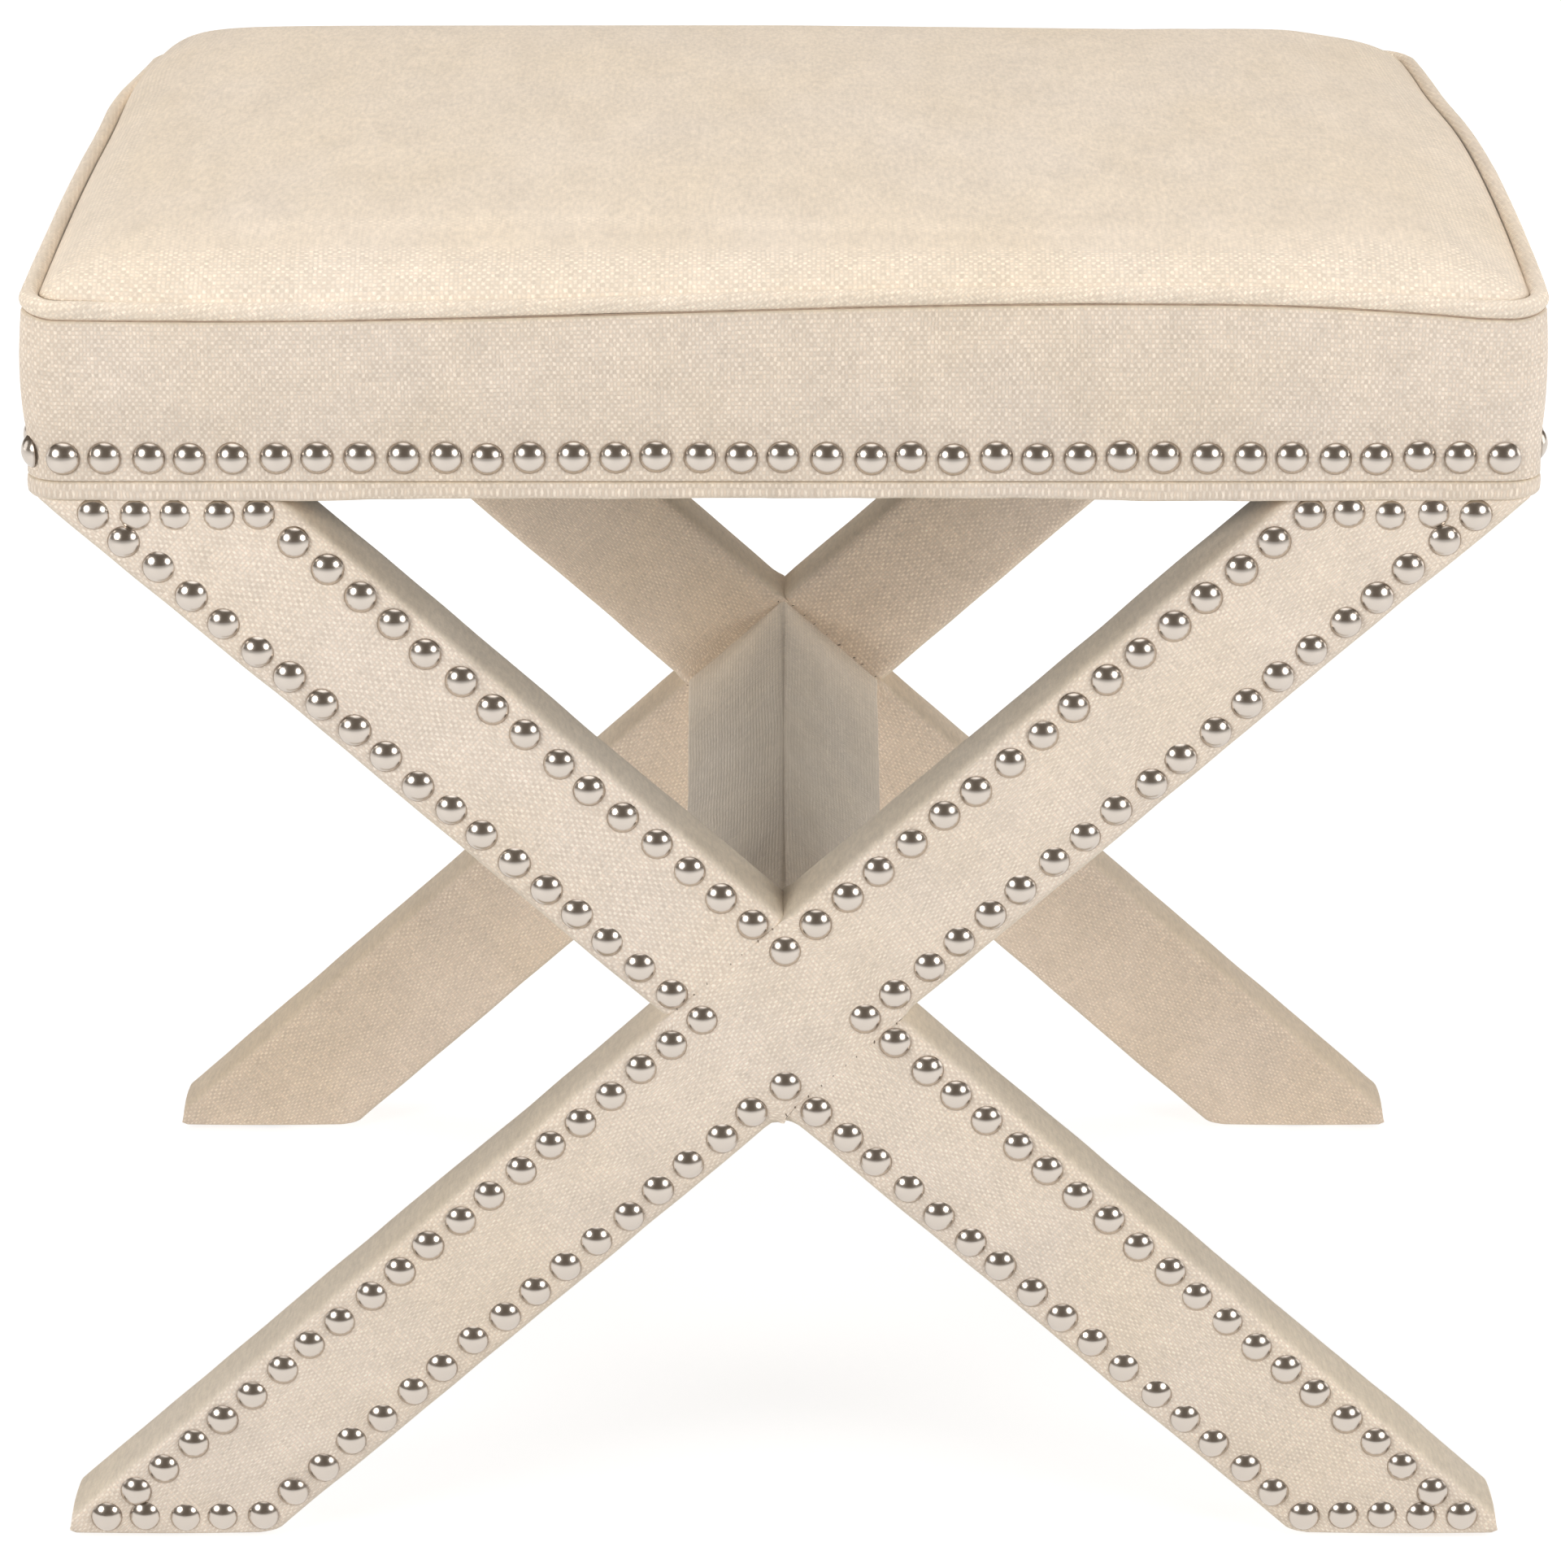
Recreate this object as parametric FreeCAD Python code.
import FreeCAD, Part
import math
import os

# Upholstered X-bench ottoman: a boxed, welted and crowned seat on two covered X frames, which a
# covered stretcher joins at their crossings. Millimetres, +Z up, front at -Y, and the origin on
# the floor under the middle of the seat.

Vector = FreeCAD.Vector
UP = Vector(0, 0, 1)

# Seat cover
seat_width = 576.0            # over the lip, side to side
seat_depth = 464.0            # over the lip, front to back
seat_underside = 440.0        # floor to the underside of the seat frame
seat_corner_radius = 16.0     # upright corners of the lip, seen from above
seat_wall = 3.7               # lip and boxing, out from the wooden frame
lip_height = 7.0              # flat sewn lip under the boxing
boxing_height = 66.0          # upright band from the lip to the welt
nailed_height = 18.0          # foot of the band, held flat by the nails
boxing_bulge = 1.5            # how far the band swells above its nailed foot
boxing_top_setback = 0.5      # the band's top edge, in from the lip's face
welt_diameter = 7.0           # covered cord round the top
welt_overhang = 0.5           # the welt, out from the band's top edge
welt_sides = 8                # the cord's section

# Seat filling
crown_height = 28.0           # from the band's top edge to the middle of the top panel
deep_crown_height = 30.0      # the arch from front to back, which the arch across cuts lower
shoulder_height = 22.0        # from the band's top edge to the top of the rolled shoulders
shoulder_run = 46.0           # from the panel's edge in to the top of the shoulders
panel_corner_radius = 9.0     # corners of the top panel, seen from above
panel_thickness = 1.5
panel_clearance = 0.5         # the panel's edge, in from the welt
wadding_thickness = 2.0

# Seat frame
rail_width = 60.0
rail_height = 28.0
deck_thickness = 9.0
vent_diameter = 40.0          # one air hole in the middle of the deck
dowel_diameter = 8.0
dowel_length = 40.0
dowel_spacing = 30.0
deck_screw_diameter = 4.0
deck_screw_length = 30.0
deck_screw_head = 8.0         # diameter of the countersunk head
deck_screw_spacing = 170.0    # along the front and rear rails
dust_cover_thickness = 0.6
dust_cover_inset = 10.0       # in from the frame's edge
dust_cover_clearance = 2.0    # round the leg tops

# X frames
crossing_height = 228.0       # floor to the middle of each crossing
bar_width = 62.0              # covered bar, across its face
bar_depth = 36.0              # covered bar, front to back
cover_thickness = 3.0         # wadding and fabric on each face
cover_edge_radius = 5.0       # soft long edges
foot_fold = 1.5               # cover folded under each foot
leg_face_setback = 2.0        # X face, in from the lip's face
leg_top_setback = 4.0         # pointed leg tops, in from the lip's side
foot_tip_reach = 2.5          # blunted foot tips, out from the lip's side
stretcher_setback = 0.8       # stretcher cover, in from the edges of the crossing
stretcher_edge_radius = 5.0

# Fasteners and feet
bolt_diameter = 8.0
bolt_embed = 45.0             # hanger bolt in the leg top
bolt_hole_clearance = 0.3     # round the bolt, in the rail and the washer
bolt_end_clearance = 1.0      # bolt end below the rail's top
nut_sides = 6
nut_across_flats = 13.0
nut_height = 6.5
washer_diameter = 18.0
washer_thickness = 1.6
counterbore_clearance = 2.0   # round the washer
counterbore_headroom = 0.9    # above the nut
stretcher_screw_diameter = 6.0
stretcher_screw_head = 12.0
stretcher_screw_length = 85.0
stretcher_screw_spacing = 24.0
rod_sides = 6                 # hidden round fasteners are drawn with this many sides
glide_sides = 10
glide_diameter = 22.0
glide_taper = 1.5             # the glide's floor face is this much smaller in radius
glide_thickness = 2.5
glide_pin_diameter = 3.0
glide_pin_length = 14.0

# Nailhead trim
nail_diameter = 11.5
nail_height = 3.6
nail_sides = 6                # each dome is drawn as a low cone, because there are hundreds
seat_nail_pitch = 16.0
seat_nail_line = 9.5          # seat nails above the lip
x_nail_pitch = 16.5
x_nail_inset = 9.8            # X nails in from the bar's edges
x_nail_clearance = 0.3        # top row of the X, below the lip
x_nail_foot_rise = 8.5        # bottom row of the X above the foot

# Heights
lip_top = seat_underside + lip_height
boxing_top = lip_top + boxing_height
rail_top = seat_underside + rail_height
deck_top = rail_top + deck_thickness

# Half sizes seen from above
lip_half_x = seat_width / 2
lip_half_y = seat_depth / 2
frame_half_x = lip_half_x - seat_wall
frame_half_y = lip_half_y - seat_wall
frame_corner_radius = seat_corner_radius - seat_wall
welt_out = welt_overhang - boxing_top_setback - welt_diameter / 2
panel_inset = panel_clearance + welt_diameter / 2 - welt_out
panel_half_x = lip_half_x - panel_inset
panel_half_y = lip_half_y - panel_inset

# X geometry: each bar is straight, its top reaches a point at the seat and its foot is blunted
leg_mid_y = lip_half_y - leg_face_setback - bar_depth / 2
leg_face_y = leg_mid_y + bar_depth / 2
leg_inner_y = leg_mid_y - bar_depth / 2
leg_top_x = lip_half_x - leg_top_setback
foot_tip_x = lip_half_x + foot_tip_reach
top_rise = seat_underside - crossing_height
foot_drop = crossing_height - glide_thickness
arm_diagonal = math.hypot(leg_top_x, top_rise)
bar_angle = math.atan2(top_rise, leg_top_x) + math.asin(bar_width / 2 / arm_diagonal)
bar_slope = math.tan(bar_angle)
bar_half_run = bar_width / 2 / math.sin(bar_angle)
leg_top_inner_x = top_rise / bar_slope - bar_half_run
foot_inner_x = foot_drop / bar_slope - bar_half_run
uncut_length = 2 * (math.hypot(foot_tip_x, foot_drop) + bar_width)
core_width = bar_width - 2 * cover_thickness
core_depth = bar_depth - 2 * cover_thickness

# The four corners of the seat, as signs of x and y
CORNERS = [(-1, -1), (1, -1), (-1, 1), (1, 1)]


def rounded_rectangle(half_x, half_y, radius, height):
    """A level closed wire with four straight runs and four corner arcs."""
    edges = []
    quarter = math.pi / 2
    centres = [(1, 1), (-1, 1), (-1, -1), (1, -1)]
    corners = []
    for turn, (sign_x, sign_y) in enumerate(centres):
        centre = Vector(sign_x * (half_x - radius), sign_y * (half_y - radius), height)
        points = []
        for step in (0, 0.5, 1):
            angle = (turn + step) * quarter
            points.append(centre + Vector(math.cos(angle), math.sin(angle), 0) * radius)
        corners.append(points)
    for turn, (start, middle, end) in enumerate(corners):
        edges.append(Part.Arc(start, middle, end).toShape())
        following = corners[(turn + 1) % len(corners)][0]
        edges.append(Part.LineSegment(end, following).toShape())
    return Part.Wire(edges)


def slab(half_x, half_y, radius, low, high):
    """A level plate with rounded upright corners."""
    outline = rounded_rectangle(half_x, half_y, radius, low)
    return Part.Face(outline).extrude(UP * (high - low))


def block(low, high):
    """A box between two opposite corners."""
    size = high - low
    return Part.makeBox(size.x, size.y, size.z, low)


def turned_half_way(shape):
    """The same piece for the rear, turned half a turn about the upright axis."""
    copy = shape.copy()
    copy.rotate(Vector(0, 0, 0), UP, 180)
    return copy


def turned(profile, sides, place, direction):
    """A many-sided turned piece from rings of (radius, distance along). A last radius of 0 is a point."""
    rotation = FreeCAD.Rotation(UP, direction)
    rings = []
    for radius, along in profile:
        ring = []
        for side in range(sides):
            angle = side * 2 * math.pi / sides
            point = Vector(radius * math.cos(angle), radius * math.sin(angle), along)
            ring.append(place + rotation.multVec(point))
        rings.append(ring)
    pointed = profile[-1][0] == 0
    outlines = [rings[0]] if pointed else [rings[0], rings[-1]]
    for lower, upper in zip(rings, rings[1:]):
        for side in range(sides):
            after = (side + 1) % sides
            outline = [lower[side], lower[after], upper[after], upper[side]]
            outlines.append(outline[:3] if pointed and upper is rings[-1] else outline)
    faces = [Part.Face(Part.makePolygon(outline + outline[:1])) for outline in outlines]
    solid = Part.Solid(Part.Shell(faces))
    return solid if solid.Volume > 0 else solid.reversed()


def rod(diameter, length, place, direction):
    """A plain round rod."""
    radius = diameter / 2
    return turned([(radius, 0), (radius, length)], rod_sides, place, direction)


def countersunk_screw(head_diameter, shank_diameter, length, head_point, direction):
    """A screw whose flat head starts at head_point and which points along direction."""
    head_radius = head_diameter / 2
    shank_radius = shank_diameter / 2
    head_length = head_radius - shank_radius
    profile = [(head_radius, 0), (shank_radius, head_length), (shank_radius, length)]
    return turned(profile, rod_sides, head_point, direction)


def carried_round(section):
    """A ring round the seat. The section stands in the XZ plane, with x measured from the corner's axis."""
    centre_x = lip_half_x - seat_corner_radius
    centre_y = lip_half_y - seat_corner_radius
    centres = [Vector(sx * centre_x, sy * centre_y, 0) for sx, sy in ((1, 1), (-1, 1), (-1, -1), (1, -1))]
    lengths = []
    for turn, centre in enumerate(centres):
        start = section.copy()
        start.rotate(Vector(0, 0, 0), UP, 90 * turn)
        start.translate(centre)
        lengths.append(start.revolve(centre, UP, 90))
        end = start.copy()
        end.rotate(centre, UP, 90)
        lengths.append(end.extrude(centres[(turn + 1) % len(centres)] - centre))
    return lengths[0].fuse(lengths[1:])


# Seat frame: flat rails, the side rails between the long ones

def make_dowels():
    """Two dowels across each joint of a side rail and a long rail."""
    dowels = []
    for sign_x, sign_y in CORNERS:
        for side in (-1, 1):
            x = sign_x * (frame_half_x - rail_width / 2) + side * dowel_spacing / 2
            start = sign_y * (frame_half_y - rail_width) - dowel_length / 2
            height = seat_underside + rail_height / 2
            base = Vector(x, start, height)
            dowels.append(rod(dowel_diameter, dowel_length, base, Vector(0, 1, 0)))
    return dowels


def make_deck_screws():
    """Screws down through the deck into each rail."""
    rail_mid_x = frame_half_x - rail_width / 2
    rail_mid_y = frame_half_y - rail_width / 2
    places = [(-rail_mid_x, 0), (rail_mid_x, 0)]
    for sign_y in (-1, 1):
        for step in (-1, 0, 1):
            places.append((step * deck_screw_spacing, sign_y * rail_mid_y))
    screws = []
    for x, y in places:
        head_point = Vector(x, y, deck_top)
        screw = countersunk_screw(
            deck_screw_head, deck_screw_diameter, deck_screw_length, head_point, -UP)
        screws.append(screw)
    return screws


bolt_x = (seat_underside - bolt_embed / 2 - crossing_height) / bar_slope
nut_seat = rail_top - counterbore_headroom - nut_height - washer_thickness


def bolt_places():
    """The axes of the four hanger bolts, at the middle of the wood they grip."""
    return [Vector(sign_x * bolt_x, sign_y * leg_mid_y, 0) for sign_x, sign_y in CORNERS]


def make_leg_bolts():
    bottom = seat_underside - bolt_embed
    length = rail_top - bolt_end_clearance - bottom
    return [rod(bolt_diameter, length, place + UP * bottom, UP) for place in bolt_places()]


def make_leg_washers():
    hole_diameter = bolt_diameter + 2 * bolt_hole_clearance
    washers = []
    for place in bolt_places():
        base = place + UP * nut_seat
        hole = rod(hole_diameter, washer_thickness, base, UP)
        washers.append(rod(washer_diameter, washer_thickness, base, UP).cut(hole))
    return washers


def make_leg_nuts():
    corner_radius = nut_across_flats / 2 / math.cos(math.pi / nut_sides)
    nuts = []
    for place in bolt_places():
        base = place + UP * (nut_seat + washer_thickness)
        body = turned([(corner_radius, 0), (corner_radius, nut_height)], nut_sides, base, UP)
        nuts.append(body.cut(rod(bolt_diameter, nut_height, base, UP)))
    return nuts


def bolt_cuts():
    """Clearance holes and nut counterbores for the long rails."""
    hole_diameter = bolt_diameter + 2 * bolt_hole_clearance
    bore_diameter = washer_diameter + 2 * counterbore_clearance
    cuts = []
    for place in bolt_places():
        cuts.append(rod(hole_diameter, rail_height, place + UP * seat_underside, UP))
        cuts.append(rod(bore_diameter, rail_top - nut_seat, place + UP * nut_seat, UP))
    return cuts


def make_rails(dowels, screws):
    """Front, rear, left and right rails, cut from one rounded plate."""
    plate = slab(frame_half_x, frame_half_y, frame_corner_radius, seat_underside, rail_top)
    inner_x = frame_half_x - rail_width
    inner_y = frame_half_y - rail_width
    spans = {
        "front_rail": (Vector(-frame_half_x, -frame_half_y, 0), Vector(frame_half_x, -inner_y, rail_top)),
        "rear_rail": (Vector(-frame_half_x, inner_y, 0), Vector(frame_half_x, frame_half_y, rail_top)),
        "left_rail": (Vector(-frame_half_x, -inner_y, 0), Vector(-inner_x, inner_y, rail_top)),
        "right_rail": (Vector(inner_x, -inner_y, 0), Vector(frame_half_x, inner_y, rail_top)),
    }
    holes = bolt_cuts() + dowels + screws
    return {name: plate.common(block(low, high)).cut(holes) for name, (low, high) in spans.items()}


def make_deck(screws):
    """Plywood deck with an air hole in its middle."""
    plate = slab(frame_half_x, frame_half_y, frame_corner_radius, rail_top, deck_top)
    vent = Part.makeCylinder(vent_diameter / 2, deck_thickness, Vector(0, 0, rail_top))
    return plate.cut([vent] + screws)


def make_dust_cover():
    """Thin cloth under the frame, cut out round the four leg tops."""
    half_x = frame_half_x - dust_cover_inset
    half_y = frame_half_y - dust_cover_inset
    low = seat_underside - dust_cover_thickness
    sheet = slab(half_x, half_y, frame_corner_radius, low, seat_underside)
    cuts = []
    for sign_x, sign_y in CORNERS:
        near_x = sign_x * (leg_top_inner_x - dust_cover_clearance)
        near_y = sign_y * (leg_inner_y - dust_cover_clearance)
        far_x = sign_x * lip_half_x
        far_y = sign_y * lip_half_y
        corner_low = Vector(min(near_x, far_x), min(near_y, far_y), low)
        corner_high = Vector(max(near_x, far_x), max(near_y, far_y), seat_underside)
        cuts.append(block(corner_low, corner_high))
    return sheet.cut(cuts)


# Seat filling and cover

def crown_profile(half, height, grow):
    """Upright face across the seat: straight sides, rolled shoulders and a shallow dome between them."""
    dome_half = half - shoulder_run
    dome_rise = height - shoulder_height
    dome_radius = (dome_half ** 2 + dome_rise ** 2) / (2 * dome_rise)
    dome_angle = math.asin(dome_half / dome_radius)
    fall = shoulder_height * math.cos(dome_angle) - shoulder_run * math.sin(dome_angle)
    radius = (shoulder_run ** 2 + shoulder_height ** 2) / (2 * fall)
    centre_x = dome_half - radius * math.sin(dome_angle)
    centre_z = boxing_top + shoulder_height - radius * math.cos(dome_angle)
    edge_angle = math.asin((half - centre_x) / radius)

    def on_shoulder(side, angle):
        out = radius + grow
        return Vector(side * (centre_x + out * math.sin(angle)), 0, centre_z + out * math.cos(angle))

    middle_angle = (dome_angle + edge_angle) / 2
    right_side, right_middle, right_top = [on_shoulder(1, a) for a in (edge_angle, middle_angle, dome_angle)]
    left_side, left_middle, left_top = [on_shoulder(-1, a) for a in (edge_angle, middle_angle, dome_angle)]
    crest = Vector(0, 0, boxing_top + height + grow)
    right_foot = Vector(right_side.x, 0, deck_top)
    left_foot = Vector(left_side.x, 0, deck_top)
    edges = [
        Part.LineSegment(left_foot, right_foot),
        Part.LineSegment(right_foot, right_side),
        Part.Arc(right_side, right_middle, right_top),
        Part.Arc(right_top, crest, left_top),
        Part.Arc(left_top, left_middle, left_side),
        Part.LineSegment(left_side, left_foot),
    ]
    return Part.Face(Part.Wire([edge.toShape() for edge in edges]))


def crown_cap(grow):
    """The crowned middle of the seat down to the deck, with its curved faces moved out by grow."""
    across = crown_profile(panel_half_x, crown_height, grow)
    across.translate(Vector(0, -lip_half_y, 0))
    across = across.extrude(Vector(0, seat_depth, 0))
    along = crown_profile(panel_half_y, deep_crown_height, grow)
    along.rotate(Vector(0, 0, 0), UP, 90)
    along.translate(Vector(-lip_half_x, 0, 0))
    along = along.extrude(Vector(seat_width, 0, 0))
    above = boxing_top + 2 * crown_height
    plan = slab(panel_half_x, panel_half_y, panel_corner_radius, deck_top, above)
    return across.common(along).common(plan)


def make_filling():
    """Foam block, the wadding over it and the top panel over both."""
    foam_half_x = frame_half_x - wadding_thickness
    foam_half_y = frame_half_y - wadding_thickness
    foam_radius = frame_corner_radius - wadding_thickness
    foam_base = slab(foam_half_x, foam_half_y, foam_radius, deck_top, boxing_top - wadding_thickness)
    foam = crown_cap(-panel_thickness - wadding_thickness).fuse(foam_base)
    padded_base = slab(frame_half_x, frame_half_y, frame_corner_radius, deck_top, boxing_top)
    padded_cap = crown_cap(-panel_thickness)
    padded = padded_cap.fuse(padded_base)
    above_low = Vector(-lip_half_x, -lip_half_y, boxing_top)
    above_high = Vector(lip_half_x, lip_half_y, boxing_top + 2 * crown_height)
    panel = crown_cap(0).cut(padded_cap).common(block(above_low, above_high))
    return {"seat_foam": foam, "seat_wadding": padded.cut(foam), "seat_top_panel": panel}


def make_boxing():
    """Upright band: flat where it is nailed, swelling over the filling above."""
    inside = seat_corner_radius - seat_wall
    flat_top = lip_top + nailed_height
    widest = (flat_top + boxing_top) / 2
    inner_foot = Vector(inside, 0, lip_top)
    outer_foot = Vector(seat_corner_radius, 0, lip_top)
    swell_foot = Vector(seat_corner_radius, 0, flat_top)
    swell = Vector(seat_corner_radius + boxing_bulge, 0, widest)
    outer_top = Vector(seat_corner_radius - boxing_top_setback, 0, boxing_top)
    inner_top = Vector(inside, 0, boxing_top)
    edges = [
        Part.LineSegment(inner_foot, outer_foot),
        Part.LineSegment(outer_foot, swell_foot),
        Part.Arc(swell_foot, swell, outer_top),
        Part.LineSegment(outer_top, inner_top),
        Part.LineSegment(inner_top, inner_foot),
    ]
    return carried_round(Part.Face(Part.Wire([edge.toShape() for edge in edges])))


def make_lower_welt():
    """Flat sewn lip under the band."""
    inside = seat_corner_radius - seat_wall
    corners = [(inside, seat_underside), (seat_corner_radius, seat_underside),
               (seat_corner_radius, lip_top), (inside, lip_top), (inside, seat_underside)]
    return carried_round(Part.Face(Part.makePolygon([Vector(x, 0, z) for x, z in corners])))


def make_top_welt():
    """Cord that lies on the band's top edge, its section flat where it lies."""
    half_side = math.pi / welt_sides
    corner_radius = welt_diameter / 2 / math.cos(half_side)
    centre = Vector(seat_corner_radius + welt_out, 0, boxing_top + welt_diameter / 2)
    points = []
    for side in range(welt_sides + 1):
        angle = (2 * side + 1) * half_side
        points.append(centre + Vector(math.cos(angle), 0, math.sin(angle)) * corner_radius)
    return carried_round(Part.Face(Part.makePolygon(points)))


# X frames: the front one is made in place, and the rear one is the same turned round

def bar_block(rise, width, depth):
    """An uncut straight bar through the front crossing. It climbs to the right where rise is 1."""
    corner = Vector(-uncut_length / 2, -depth / 2, -width / 2)
    bar = Part.makeBox(uncut_length, depth, width, corner)
    bar.rotate(Vector(0, 0, 0), Vector(0, 1, 0), -rise * math.degrees(bar_angle))
    bar.translate(Vector(0, -leg_mid_y, crossing_height))
    return bar


def soft_edged(bar):
    """The bar with its four long edges rounded."""
    long_edges = [edge for edge in bar.Edges if edge.Length > uncut_length / 2]
    return bar.makeFillet(cover_edge_radius, long_edges)


def leg_trim(low, tip_x):
    """The space that a leg is cut to: level ends and upright foot tips."""
    return block(Vector(-tip_x, -lip_half_y, low), Vector(tip_x, 0, seat_underside))


def front_half_space(inner):
    """The inner or the outer half of the front X's depth."""
    low_y = -leg_mid_y if inner else -lip_half_y
    high_y = 0 if inner else -leg_mid_y
    return block(Vector(-foot_tip_x, low_y, 0), Vector(foot_tip_x, high_y, seat_underside))


def make_stretcher_screws():
    """Two screws through each crossing into the end of the stretcher rail."""
    screws = []
    head_y = leg_mid_y + core_depth / 2
    for sign_y in (-1, 1):
        for side in (-1, 1):
            height = crossing_height + side * stretcher_screw_spacing / 2
            head_point = Vector(0, sign_y * head_y, height)
            screw = countersunk_screw(
                stretcher_screw_head, stretcher_screw_diameter, stretcher_screw_length,
                head_point, Vector(0, -sign_y, 0))
            screws.append(screw)
    return screws


def make_glides():
    """A glide under each foot, with the pin that nails it on."""
    x = (foot_inner_x + foot_tip_x) / 2
    top_radius = glide_diameter / 2
    pin_radius = glide_pin_diameter / 2
    profile = [(top_radius - glide_taper, 0), (top_radius, glide_thickness),
               (pin_radius, glide_thickness), (pin_radius, glide_thickness + glide_pin_length)]
    glides = []
    for sign_x, sign_y in CORNERS:
        place = Vector(sign_x * x, sign_y * leg_mid_y, 0)
        glides.append(turned(profile, glide_sides, place, UP))
    return glides


def diamond_bar(width, half_length):
    """A bar between the X frames whose section is the diamond where two such bars would cross."""
    tall = width / 2 / math.cos(bar_angle)
    wide = width / 2 / math.sin(bar_angle)
    points = []
    for x, z in ((wide, 0), (0, tall), (-wide, 0), (0, -tall), (wide, 0)):
        points.append(Vector(x, -half_length, crossing_height + z))
    return Part.Face(Part.makePolygon(points)).extrude(Vector(0, 2 * half_length, 0))


def make_stretcher(screws):
    """Wooden rail from joint to joint, and its padded cover between the X covers."""
    cover_width = bar_width - 2 * stretcher_setback
    rail = diamond_bar(cover_width - 2 * cover_thickness, leg_inner_y + cover_thickness)
    sleeve = diamond_bar(cover_width, leg_inner_y)
    long_edges = [edge for edge in sleeve.Edges if edge.Length > leg_inner_y]
    cover = sleeve.makeFillet(stretcher_edge_radius, long_edges).cut(rail)
    return rail, rail.cut(screws), cover


def make_front_x(stretcher_seat, bolts, screws, glides):
    """Two halved bars, and the three sewn sleeves that cover them."""
    foot = glide_thickness + foot_fold
    core_space = leg_trim(foot, foot_tip_x - cover_thickness)
    cover_space = leg_trim(glide_thickness, foot_tip_x)
    through_core = bar_block(1, core_width, core_depth)
    halved_core = bar_block(-1, core_width, core_depth)
    through_wood = through_core.common(core_space)
    halved_wood = halved_core.common(core_space)
    fastenings = bolts + screws + glides
    through_notch = halved_core.common(front_half_space(True))
    halved_notch = through_core.common(front_half_space(False))

    through_edge = bar_block(1, bar_width, bar_depth)
    through_cover = soft_edged(through_edge).common(cover_space)
    arm_covers = soft_edged(bar_block(-1, bar_width, bar_depth)).common(cover_space)
    arm_covers = arm_covers.cut([through_edge, halved_wood] + glides)
    lower_arm, upper_arm = sorted(arm_covers.Solids, key=lambda arm: arm.CenterOfMass.z)
    through_sleeve = through_cover.cut([through_wood, halved_wood, stretcher_seat] + glides)
    return {
        "through_bar": through_wood.cut([through_notch] + fastenings),
        "halved_bar": halved_wood.cut([halved_notch] + fastenings),
        "through_sleeve": through_sleeve,
        "upper_sleeve": upper_arm,
        "lower_sleeve": lower_arm,
    }


# Nailhead trim

def nailed(places, outward):
    """A plain head at each place, standing out along outward."""
    profile = [(nail_diameter / 2, 0), (0, nail_height)]
    return [turned(profile, nail_sides, place, outward) for place in places]


def spaced(start, end, pitch):
    """Evenly spaced places from start up to, but without, end."""
    gaps = max(1, round((end - start).Length / pitch))
    return [start + (end - start) * (step / gaps) for step in range(gaps)]


def make_seat_nails():
    """A level row along each side of the boxing's foot."""
    height = lip_top + seat_nail_line
    end_x = lip_half_x - seat_corner_radius
    end_y = lip_half_y - seat_corner_radius
    nails = []
    for side in (-1, 1):
        start = Vector(-end_x, side * lip_half_y, height)
        end = Vector(end_x, side * lip_half_y, height)
        nails += nailed(spaced(start, end, seat_nail_pitch) + [end], Vector(0, side, 0))
        start = Vector(side * lip_half_x, -end_y, height)
        end = Vector(side * lip_half_x, end_y, height)
        nails += nailed(spaced(start, end, seat_nail_pitch) + [end], Vector(side, 0, 0))
    return nails


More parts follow.
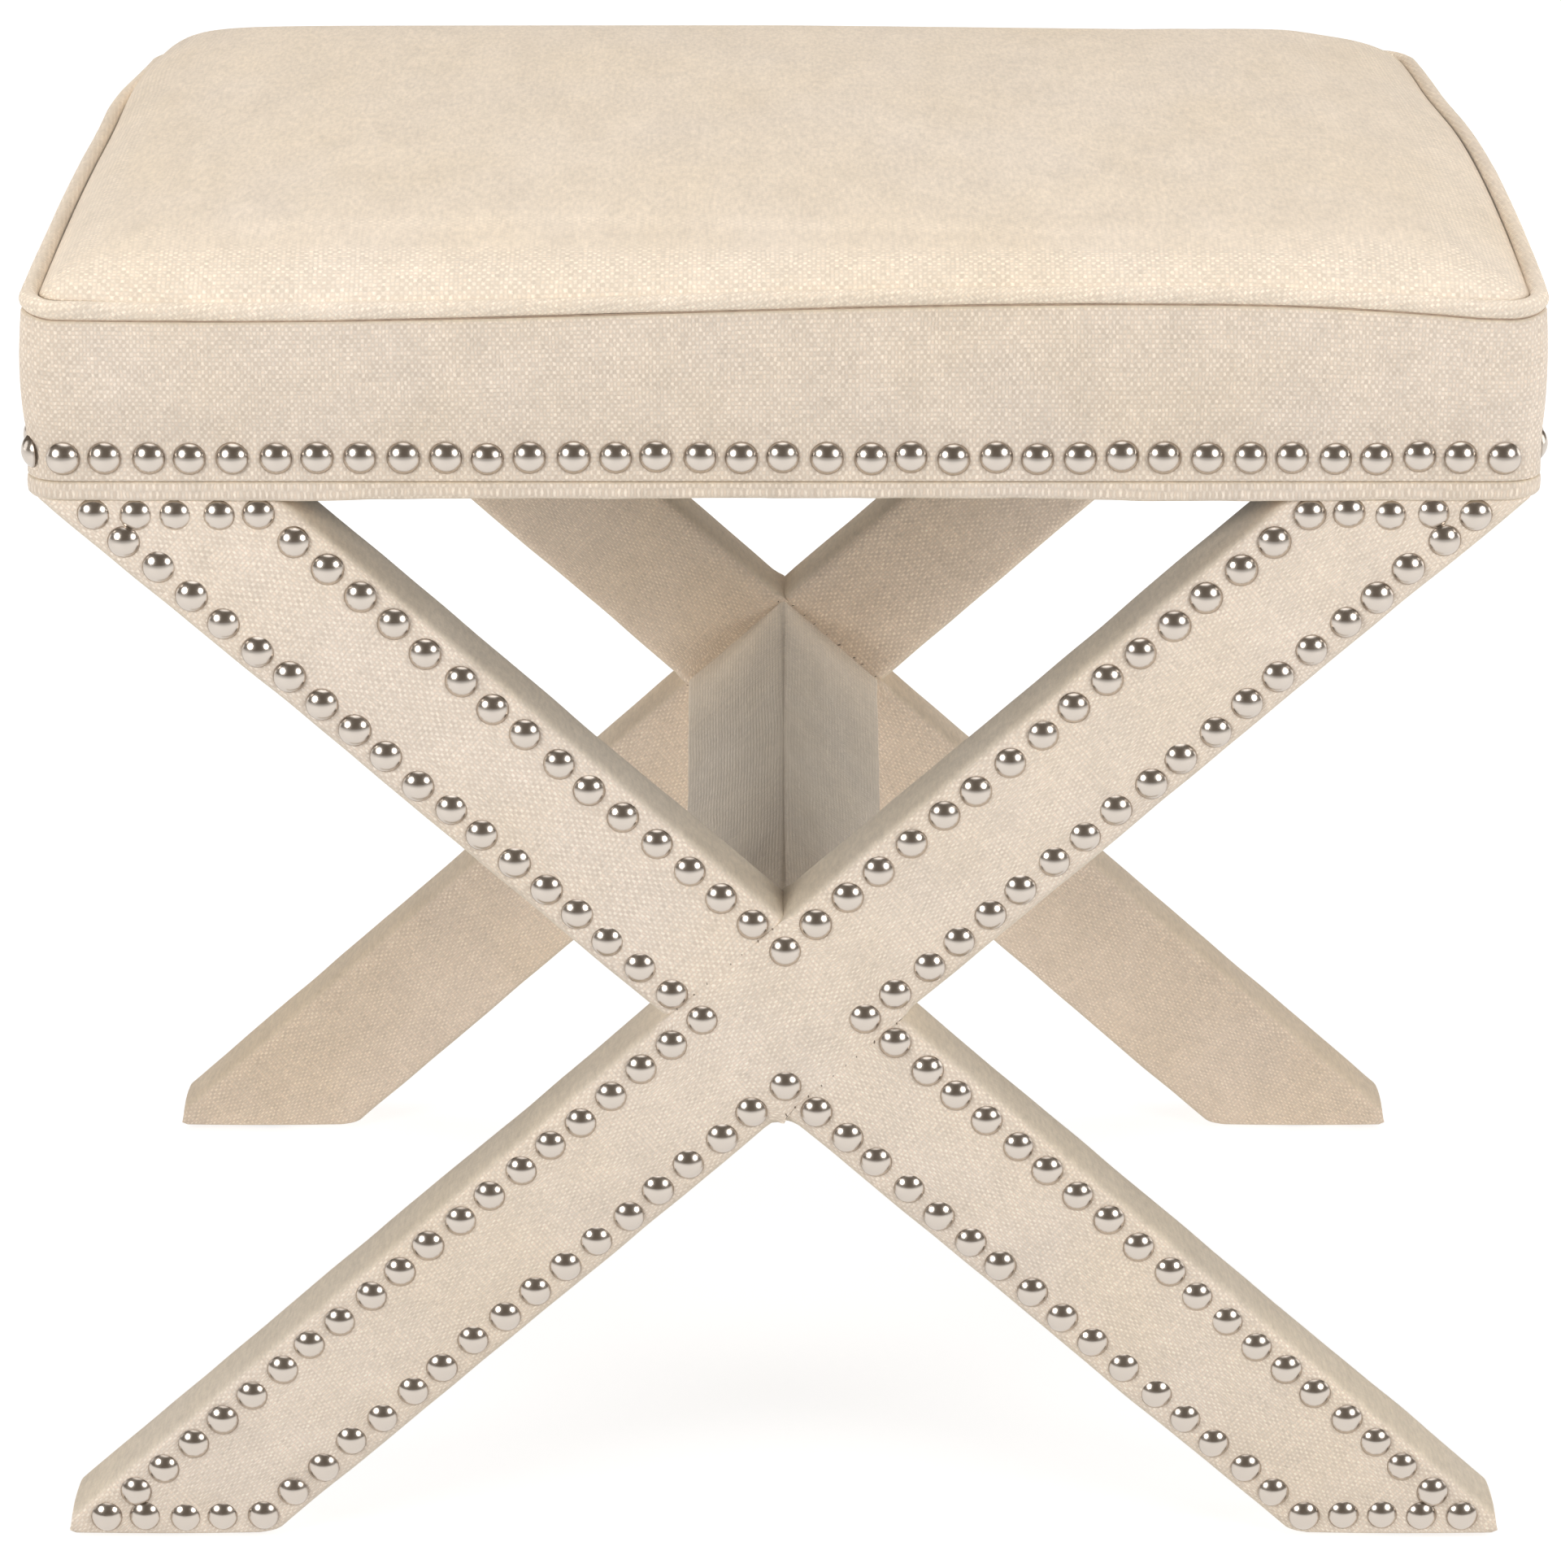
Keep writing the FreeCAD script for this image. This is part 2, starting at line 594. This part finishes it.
def make_front_x_nails():
    """One closed row that follows the outline of the X on its face."""
    row = bar_width / 2 - x_nail_inset
    tall = row / math.cos(bar_angle)
    wide = row / math.sin(bar_angle)
    top = top_rise - nail_diameter / 2 - x_nail_clearance
    bottom = x_nail_foot_rise - foot_drop
    top_in = (top - tall) / bar_slope
    top_out = (top + tall) / bar_slope
    foot_in = (-bottom - tall) / bar_slope
    foot_out = (-bottom + tall) / bar_slope
    right = [(0, tall), (top_in, top), (top_out, top), (wide, 0), (foot_out, bottom), (foot_in, bottom)]
    left = [(0, -tall), (-foot_in, bottom), (-foot_out, bottom), (-wide, 0), (-top_out, top), (-top_in, top)]
    corners = [Vector(x, -leg_face_y, crossing_height + z) for x, z in right + left]
    places = []
    for turn, corner in enumerate(corners):
        places += spaced(corner, corners[(turn + 1) % len(corners)], x_nail_pitch)
    return nailed(places, Vector(0, -1, 0))


dowels = make_dowels()
deck_screws = make_deck_screws()
leg_bolts = make_leg_bolts()
stretcher_screws = make_stretcher_screws()
glides = make_glides()
stretcher_seat, stretcher_rail, stretcher_cover = make_stretcher(stretcher_screws)
front_x = make_front_x(stretcher_seat, leg_bolts, stretcher_screws, glides)
front_x_nails = make_front_x_nails()

pieces = make_rails(dowels, deck_screws)
pieces.update(make_filling())
pieces.update({
    "rail_dowels": Part.makeCompound(dowels),
    "seat_deck": make_deck(deck_screws),
    "deck_screws": Part.makeCompound(deck_screws),
    "dust_cover": make_dust_cover(),
    "seat_boxing": make_boxing(),
    "lower_welt": make_lower_welt(),
    "top_welt": make_top_welt(),
    "seat_nails": Part.makeCompound(make_seat_nails()),
    "stretcher_rail": stretcher_rail,
    "stretcher_cover": stretcher_cover,
    "stretcher_screws": Part.makeCompound(stretcher_screws),
    "leg_bolts": Part.makeCompound(leg_bolts),
    "leg_washers": Part.makeCompound(make_leg_washers()),
    "leg_nuts": Part.makeCompound(make_leg_nuts()),
    "foot_glides": Part.makeCompound(glides),
    "front_x_nails": Part.makeCompound(front_x_nails),
    "rear_x_nails": turned_half_way(Part.makeCompound(front_x_nails)),
})
for name, piece in front_x.items():
    pieces["front_" + name] = piece
    pieces["rear_" + name] = turned_half_way(piece)

os.makedirs("parts", exist_ok=True)
for name, piece in sorted(pieces.items()):
    piece.exportStep("parts/" + name + ".step")
    print(name, "solids", len(piece.Solids), "volume", round(piece.Volume / 1000, 1), "cm3", piece.isValid())
print("bar angle", round(math.degrees(bar_angle), 2), "degrees,", len(pieces), "nodes")
print("front right glide at", round((foot_inner_x + foot_tip_x) / 2, 2), round(-leg_mid_y, 2))
